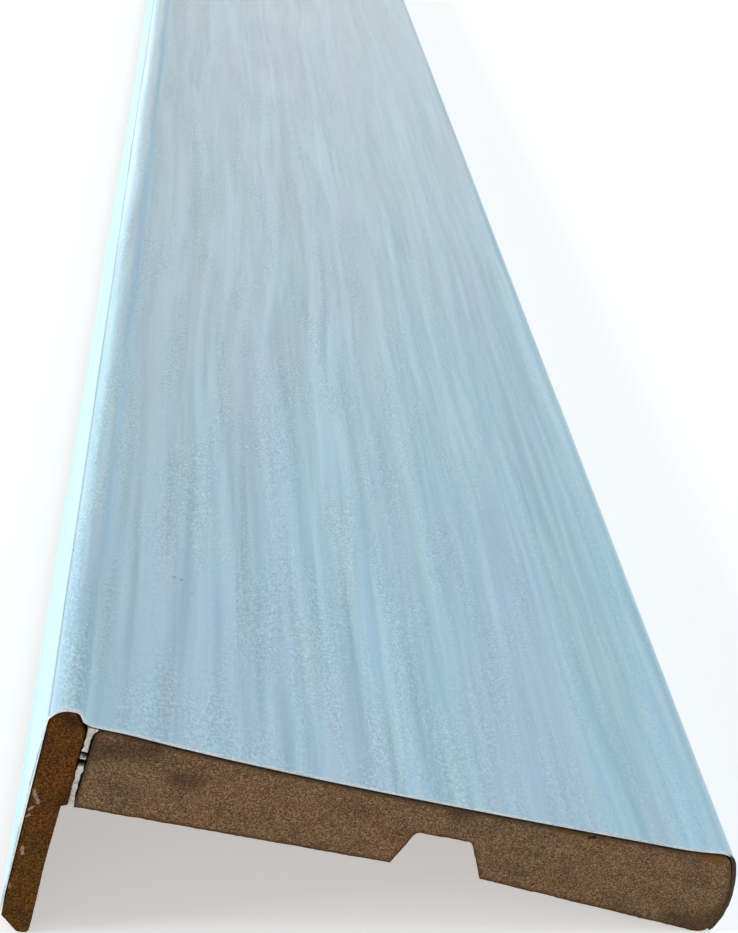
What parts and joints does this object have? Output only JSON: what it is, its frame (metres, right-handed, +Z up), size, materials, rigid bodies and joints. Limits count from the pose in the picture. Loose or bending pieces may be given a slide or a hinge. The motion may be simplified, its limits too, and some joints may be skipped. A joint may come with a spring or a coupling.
{
  "type": "door architrave",
  "caption": "Telescopic door architrave: a dished, foil-covered board with a relief groove in its back and a tongue glued at right angles along one edge.",
  "frame": {"origin": "centre of the underside of the box around the part, on the surface that the tongue's tip and the nose's underside lie on, half way along the length", "axes": "+Y along the length, from the cut end that the picture shows near to the far one; +X across, from the tongue to the nose; +Z up, out of the face side. The part lies as in the picture, so its face and back lean about 13 degrees about Y; the mounts give the true directions of the back and the tongue"},
  "size_m": [0.0818, 0.42, 0.0314],
  "materials": {
    "fibreboard": "bare medium-density fibreboard, sawn across at the ends, matt and finely speckled",
    "hardboard": "bare high-density fibreboard, darker and denser, sawn across at the ends",
    "set_glue": "set off-white glue, ragged where it was sawn",
    "decor_foil": "pale bluish-white decor film, satin, embossed with a long wood grain"
  },
  "bodies": {
    "root": {"face_board": "fibreboard", "tongue": "hardboard", "glue_line": "set_glue", "foil": "decor_foil"}
  },
  "joints": []
}
